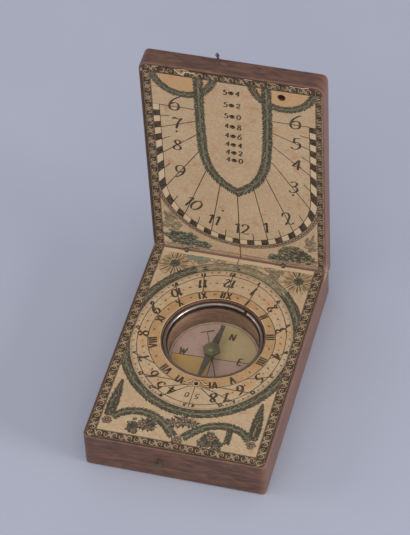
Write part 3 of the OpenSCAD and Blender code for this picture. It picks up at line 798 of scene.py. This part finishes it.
def draw_frame_band(d):
    """A band chequered by quarter hours round the dial, with a narrow braid outside it."""
    braid = frame_line(BAND + BRAID / 2, 40)
    d.ribbon("braid", braid, BRAID)
    for i, (place, turn) in enumerate(along(braid, 0.75)):
        side = 1 if i % 2 else -1
        d.leaf("ink", step_from(place, turn, -0.5, -0.45 * side), 1.3, 0.4, turn + 38 * side)
    d.ribbon("ink", frame_line(BAND + BRAID, 38), 0.22)
    d.ribbon("pale", frame_line(BAND / 2), BAND)
    for quarter in range(-24, 24):
        turns = [hour_angle(12 + (quarter + part / 3) / 4, UPPER_SINE) for part in range(4)]
        cell = [ray_to_frame(turn, 0) for turn in turns] + [ray_to_frame(turn, BAND) for turn in turns[::-1]]
        if quarter % 2:
            d.patch("ink", cell)
        else:
            d.ribbon("ink", [cell[0], cell[-1]], 0.16)
    for out in (0, BAND):
        d.ribbon("ink", frame_line(out), 0.24)


def draw_long_garland(d):
    """The garland that hangs round the latitude holes, down to a tie at its point."""
    left = ((-10.6, 84), (-10.7, 72), (-10.6, 60), (-10.3, 50), (-9.0, 43.5), (-6.6, 38.6), (-3.4, 35),
            (0.6, 32.6))
    right = ((11.5, 84), (11.6, 72), (11.4, 60), (10.8, 50), (9.4, 43.5), (7.2, 38.6), (4.2, 35),
             (0.8, 32.6))
    for side in (left, right):
        d.garland(smooth(side), 3.0)
    d.flower((0.8, 31.4), 1.1, 5, "leaf")


def draw_card():
    """The compass card, in mm from its pin: tinted quarters, cross lines and the mark for magnetic north."""
    d = Drawing(31)
    middle, rim = well()
    middle = tuple(middle - pin)[:2]

    def edge(turn):
        """A place just inside the card's rim, in a direction from the pin."""
        return ray_to_oval((0, 0), turn, middle, rim - 0.7, rim - 0.7)

    d.patch("faded", oval(middle, rim, count=96))
    for start, ink in ((-2, "olive"), (88, "pink"), (178, "gold"), (268, "pink")):
        d.patch(ink, [(0, 0)] + [edge(start + 90 * i / 24) for i in range(25)])
    d.ribbon("ink", oval(middle, rim - 0.75, count=96), 0.14, closed=True)
    for turn in (-2, 88):
        d.ribbon("ink", [edge(turn), edge(turn + 180)], 0.28)
    declination = 22
    d.ribbon("ink", [edge(180 - declination), step_from((0, 0), declination, 0, 12)], 0.26)
    d.ribbon("ink", turned([(-2.4, 12), (2.4, 12)], (0, 0), declination), [0.35, 0.6])
    for text, at in (("N", (4.4, 10.4)), ("E", (9.4, 0.5)), ("S", (-2.4, -9.6)), ("W", (-10.2, 1.2))):
        d.figures(text, at, 2.8, 0, 0.6, 0.4)
    d.patch("hole", oval((0, 0), 0.6, count=14))
    return d


# Paper

def holds(outline, x, y):
    """Whether a closed outline holds a point."""
    found = False
    for (ax, ay), (bx, by) in zip(outline, outline[1:] + outline[:1]):
        if (ay > y) != (by > y) and x < ax + (bx - ax) * (y - ay) / (by - ay):
            found = not found
    return found


def paper_mesh(name, drawing, place, thick, materials):
    """A sheet that carries a drawing: its top is cut along every line of it, and sides and back close it."""
    points, outlines = [], []
    for ink, outline in drawing.patches:
        outlines.append(list(range(len(points), len(points) + len(outline))))
        points.extend(Vector(p) for p in outline)
    cut = geometry.delaunay_2d_cdt(points, [], outlines, 0, 1e-3, True)
    inks = sorted({ink for ink, _ in drawing.patches if ink != "hole"})
    mesh = bmesh.new()
    verts = [mesh.verts.new(place(v.x, v.y, 0)) for v in cut[0]]
    for triangle, origins in zip(cut[2], cut[5]):
        x, y = sum((cut[0][i] for i in triangle), Vector((0, 0))) / 3
        over = [i for i in sorted(origins, reverse=True) if holds(drawing.patches[i][1], x, y)]
        top = drawing.patches[over[0]][0] if over and over[-1] == 0 else "hole"
        if top != "hole":
            face = mesh.faces.new([verts[i] for i in triangle])
            face.material_index = inks.index(top)
    bmesh.ops.delete(mesh, geom=[v for v in mesh.verts if not v.link_faces], context="VERTS")
    rim = [e for e in mesh.edges if e.is_boundary]
    grown = bmesh.ops.extrude_edge_only(mesh, edges=rim)["geom"]
    down = place(0, 0, -thick) - place(0, 0, 0)
    for v in grown:
        if isinstance(v, bmesh.types.BMVert):
            v.co += down
    lower = [e for e in grown if isinstance(e, bmesh.types.BMEdge) and e.is_boundary]
    bmesh.ops.triangle_fill(mesh, edges=lower, use_beauty=True, normal=down)
    bmesh.ops.recalc_face_normals(mesh, faces=mesh.faces)
    data = bpy.data.meshes.new(name)
    mesh.to_mesh(data)
    mesh.free()
    for ink in inks:
        data.materials.append(materials[ink])
    return put_in_scene(name, data)


def rag_paper(tree, where, fresh, aged):
    """Colour and bump of old handmade paper: browned in clouds, foxed, and felted.

    Real fibres are finer, and are drawn 0.8 mm apart so that they show."""
    clouds = add(tree, "TexNoise", {"Vector": where, "Scale": per_mm(11), "Detail": 4.0, "Roughness": 0.6})
    base = add(tree, "Mix", {0: clouds, 6: linear(fresh), 7: linear(aged)}, data_type="RGBA")
    spots = add(tree, "TexNoise", {"Vector": where, "Scale": per_mm(4.5), "Detail": 3.0, "Roughness": 0.65})
    spots = add(tree, "MapRange", {0: spots, 1: 0.56, 2: 0.74, 3: 0.0, 4: 0.5})
    foxed = add(tree, "Mix", {0: spots, 6: base, 7: linear("#a8672f")}, data_type="RGBA")
    fibre = add(tree, "TexNoise", {"Vector": where, "Scale": per_mm(0.8), "Detail": 4.0, "Roughness": 0.75})
    shade = add(tree, "MapRange", {0: fibre, 1: 0.3, 2: 0.7, 3: 0.78, 4: 1.14})
    colour = add(tree, "Mix", {0: 1.0, 6: foxed, 7: shade}, data_type="RGBA", blend_type="MULTIPLY")
    relief = add(tree, "TexNoise", {"Vector": where, "Scale": per_mm(2.6), "Detail": 4.0})
    height = add(tree, "Math", {0: relief, 1: fibre}, operation="ADD")
    bump = add(tree, "Bump", {"Height": height, "Strength": 0.35, "Distance": 0.12 * MM})
    return colour, bump


def printed(name, pigment=None, cover=1.0, wear=0.25, spots=0.8, fresh="#bea88a", aged="#a88d6e"):
    """Paper under a pigment, which is thin in spots of so many mm, where the paper shows through."""
    material, tree = blank_material(name)
    where = add(tree, "TexCoord").outputs["Object"]
    colour, bump = rag_paper(tree, where, fresh, aged)
    if pigment:
        rubbed = add(tree, "TexNoise", {"Vector": where, "Scale": per_mm(spots), "Detail": 3.0,
                                        "Roughness": 0.7})
        kept = add(tree, "MapRange", {0: rubbed, 1: 0.35, 2: 0.68, 3: cover, 4: cover * (1 - wear)})
        colour = add(tree, "Mix", {0: kept, 6: colour, 7: linear(pigment)}, data_type="RGBA")
    shader = add(tree, "BsdfPrincipled", {"Base Color": colour, "Normal": bump, "Roughness": 0.88,
                                          "Specular IOR Level": 0.25})
    add(tree, "OutputMaterial", {"Surface": shader})
    return material


# Printer's ink and watercolours on rag paper, which stay matt. By the names that the drawings use:
# the material, its colour, how far it covers, how much is rubbed off, and the size of the rubbed spots
DIAL_INKS = {
    "paper": ("rag_paper",),
    "pale": ("rubbed_paper", "#cdb99a", 0.6, 0.4),
    "tint": ("orange_wash", "#9c7038", 0.66, 0.6, 2.5),
    "peach": ("peach_wash", "#b58a5a", 0.7, 0.6, 3.0),
    "ink": ("printers_ink", "#1a1411", 0.97, 0.18),
    "dot": ("red_brown_ink", "#5d3626", 0.9, 0.2),
    "ground": ("inked_ground", "#291e18", 0.97, 0.12),
    "scroll": ("scroll_paper", "#85705a", 0.85, 0.45),
    "green": ("verdigris_grey_wash", "#525645", 0.96, 0.2),
    "leaf": ("dark_leaf_ink", "#2b2d26", 0.97, 0.15),
    "worn_green": ("worn_green_wash", "#857c62", 0.8, 0.45),
    "worn_leaf": ("worn_leaf_ink", "#5a5446", 0.9, 0.45),
    "bloom": ("pale_leaf_wash", "#625d4c", 0.9, 0.25),
    "bush": ("verdigris_wash", "#4a5d50", 0.92, 0.3),
    "teal": ("bright_verdigris_wash", "#5d7567", 0.9, 0.3),
    "olive": ("sap_wash", "#7d6f4d", 0.85, 0.35),
    "sage": ("sage_wash", "#86886a", 0.8, 0.4),
    "flower": ("madder_grey_wash", "#68534d", 0.88, 0.25),
    "ochre": ("brown_wash", "#5f4a33", 0.88, 0.25),
    "straw": ("straw_wash", "#b09463", 0.7, 0.35),
    "braid": ("pink_wash", "#7c675c", 0.85, 0.3),
}

# The compass card's own, on paper that stayed cleaner under its glass
CARD_INKS = {
    "faded": ("card_paper",),
    "ink": ("card_ink", "#241d1a", 0.92, 0.2),
    "pink": ("madder_wash", "#dcb4b0", 0.95, 0.8, 3.0),
    "olive": ("sap_green_wash", "#dcc28f", 0.95, 0.6, 3.0),
    "gold": ("gamboge_wash", "#ebba6d", 1.0, 0.6, 3.0),
}


def lay_paper(node, body, drawing, place, thick, inks):
    """Puts a printed sheet in place of its plain one."""
    sheet = paper_mesh("printed_" + node, drawing, place, thick, inks)
    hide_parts(node)
    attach(sheet, body)


def make_papers():
    """The two printed dials and the compass card."""
    inks = {ink: printed(*values) for ink, values in DIAL_INKS.items()}
    low, high = corners("base_dial_paper")
    lay_paper("base_dial_paper", "base", draw_lower_dial(),
              lambda x, y, z: (fold + Vector((x, y, high.z + z))) * MM, high.z - low.z, inks)
    near, far = corners("lid_dial_paper", LEAN)
    lay_paper("lid_dial_paper", "lid", draw_upper_dial(),
              lambda x, y, z: (fold + LEAN @ Vector((x, near.y - z, y))) * MM, far.y - near.y, inks)
    inks = {ink: printed(*values, fresh="#d8c2b2", aged="#c2ad9d") for ink, values in CARD_INKS.items()}
    under, over = corners("compass_card")
    middle = Vector((pin.x, pin.y, fold.z + over.z))
    lay_paper("compass_card", "base", draw_card(),
              lambda x, y, z: (middle + Vector((x, y, z))) * MM, over.z - under.z, inks)


# Wood, metal and glass

def dress(name, material):
    """Gives a CAD node a material."""
    data = nodes[name].data
    data.materials.clear()
    data.materials.append(material)


def near_axis(tree, where, across, place, far, close):
    """A mask that rises to one near a line through a place. across has a zero along the line."""
    flat = add(tree, "VectorMath", {0: where, 1: across}, operation="MULTIPLY")
    foot = [p * keep * MM for p, keep in zip(place, across)]
    reach = add(tree, "VectorMath", {0: flat, 1: foot}, operation="DISTANCE")
    return add(tree, "MapRange", {0: reach, 1: far * MM, 2: close * MM, 3: 0.0, 4: 1.0})


def stained_wood(name, grain):
    """Pear wood stained red-brown, streaked along the grain, rubbed pale and pinkish at edges and fold.

    grain is the axis that the grain runs along, 0 to 2. The side of the well is less stained, and is also
    painted lighter, as painted light for the light that its glass keeps out. Pear is
    finer than the streaks, which are 1.1 mm apart so that they show."""
    material, tree = blank_material(name)
    where = add(tree, "TexCoord").outputs["Object"]
    stretch = [0.25, 1.0, 1.0]
    stretch[grain] = 0.06
    drawn = add(tree, "Mapping", {"Vector": where, "Scale": stretch})
    streaks = add(tree, "TexNoise", {"Vector": drawn, "Scale": per_mm(1.1), "Detail": 5.0,
                                     "Roughness": 0.62})
    broad = add(tree, "TexNoise", {"Vector": drawn, "Scale": per_mm(4), "Detail": 4.0,
                                   "Roughness": 0.6})
    streak = add(tree, "MapRange", {0: streaks, 1: 0.31, 2: 0.69, 3: 0.0, 4: 1.0})
    body = add(tree, "Mix", {0: streak, 6: linear("#432a1e"), 7: linear("#77513d")}, data_type="RGBA")
    blotch = add(tree, "MapRange", {0: broad, 1: 0.35, 2: 0.68, 3: 0.0, 4: 0.45})
    body = add(tree, "Mix", {0: blotch, 6: body, 7: linear("#452e25")}, data_type="RGBA")
    middle, inside = well()
    # Painted light: inside the well the wood is coloured lighter, partly bare wood and partly painted light for
    # the light the glass keeps out
    bare_lit_well_mask = near_axis(tree, where, (1, 1, 0), middle, inside + 0.5, inside + 0.2)
    bare_lit_wall = add(tree, "Mix", {0: streak, 6: linear("#684a40"), 7: linear("#957365")}, data_type="RGBA")
    body = add(tree, "Mix", {0: bare_lit_well_mask, 6: body, 7: bare_lit_wall}, data_type="RGBA")
    handled = near_axis(tree, where, (0, 1, 1), fold, 3.5, 0.8)
    body = add(tree, "Mix", {0: handled, 6: body, 7: linear("#8a6c5e")}, data_type="RGBA")
    edge = add(tree, "Bevel", {"Radius": 0.9 * MM}, samples=6)
    flat = add(tree, "NewGeometry").outputs["Normal"]
    meet = add(tree, "VectorMath", {0: edge, 1: flat}, operation="DOT_PRODUCT")
    rubbed = add(tree, "MapRange", {0: meet, 1: 0.995, 2: 0.9, 3: 0.0, 4: 1.0})
    chips = add(tree, "TexNoise", {"Vector": where, "Scale": per_mm(1.8), "Detail": 4.0,
                                   "Roughness": 0.7})
    worn = add(tree, "Math", {0: rubbed, 1: chips}, operation="MULTIPLY")
    worn = add(tree, "MapRange", {0: worn, 1: 0.12, 2: 0.6, 3: 0.0, 4: 0.7})
    colour = add(tree, "Mix", {0: worn, 6: body, 7: linear("#93705f")}, data_type="RGBA")
    height = add(tree, "Math", {0: streaks, 1: chips}, operation="ADD")
    bump = add(tree, "Bump", {"Height": height, "Strength": 0.4, "Distance": 0.1 * MM})
    shader = add(tree, "BsdfPrincipled", {"Base Color": colour, "Normal": bump, "Roughness": 0.42,
                                          "Specular IOR Level": 0.6})
    add(tree, "OutputMaterial", {"Surface": shader})
    return material


def aged_metal(name, bright, dark, roughness, size):
    """Bare metal under a patchy tarnish. size is that of the patches, in mm."""
    material, tree = blank_material(name)
    where = add(tree, "TexCoord").outputs["Object"]
    patches = add(tree, "TexNoise", {"Vector": where, "Scale": per_mm(size), "Detail": 4.0,
                                     "Roughness": 0.65})
    colour = add(tree, "Mix", {0: patches, 6: linear(bright), 7: linear(dark)}, data_type="RGBA")
    rough = add(tree, "MapRange", {0: patches, 1: 0.3, 2: 0.7, 3: roughness - 0.1, 4: roughness + 0.15})
    bump = add(tree, "Bump", {"Height": patches, "Strength": 0.3, "Distance": 0.05 * MM})
    shader = add(tree, "BsdfPrincipled", {"Base Color": colour, "Roughness": rough, "Normal": bump,
                                          "Metallic": 1.0})
    add(tree, "OutputMaterial", {"Surface": shader})
    return material


def old_glass():
    """Thin crown glass, clear and slightly hazy. Lamps shine through it onto the card."""
    material, tree = blank_material("crown_glass")
    shader = add(tree, "BsdfPrincipled", {"Base Color": linear("#f2f5f2"), "Roughness": 0.03, "IOR": 1.5,
                                          "Transmission Weight": 1.0})
    shadow = add(tree, "LightPath").outputs["Is Shadow Ray"]
    clear = add(tree, "BsdfTransparent", {"Color": linear("#f2f5f2")})
    mixed = add(tree, "MixShader", {0: shadow, 1: shader, 2: clear})
    add(tree, "OutputMaterial", {"Surface": mixed})
    return material


def dress_nodes():
    """Finishes of the CAD's own pieces."""
    dress("base_block", stained_wood("stained_pear_lower", 1))
    dress("lid_block", stained_wood("stained_pear_lid", 2))
    # Drawn iron, gone dull and brown
    wire = aged_metal("tarnished_iron_wire", "#8c837a", "#514840", 0.5, 0.8)
    for name in ("hinge_eye_left", "hinge_eye_right", "hinge_staple_left", "hinge_staple_right",
                 "catch_hook", "catch_link"):
        dress(name, wire)
    # Tin keeps soft highlights along the ring
    dress("glass_ring", aged_metal("tinned_wire", "#b0a9a2", "#6f6862", 0.36, 1.5))
    # Heat-blued steel, faded to a slate grey
    dress("compass_needle", aged_metal("blued_steel", "#85878a", "#55555a", 0.45, 2.0))
    # Turned brass, gone olive in the closed well, and darker where it is handled
    brass = aged_metal("tarnished_brass", "#a59d84", "#77705c", 0.5, 1.2)
    for name in ("needle_cap", "compass_pivot"):
        dress(name, brass)
    dress("catch_peg", aged_metal("rubbed_brass", "#8f8672", "#5f584a", 0.45, 1.0))
    dress("compass_glass", old_glass())


bpy.context.scene.view_settings.view_transform = "Standard"
make_camera()
make_light()
make_floor()
make_papers()
dress_nodes()
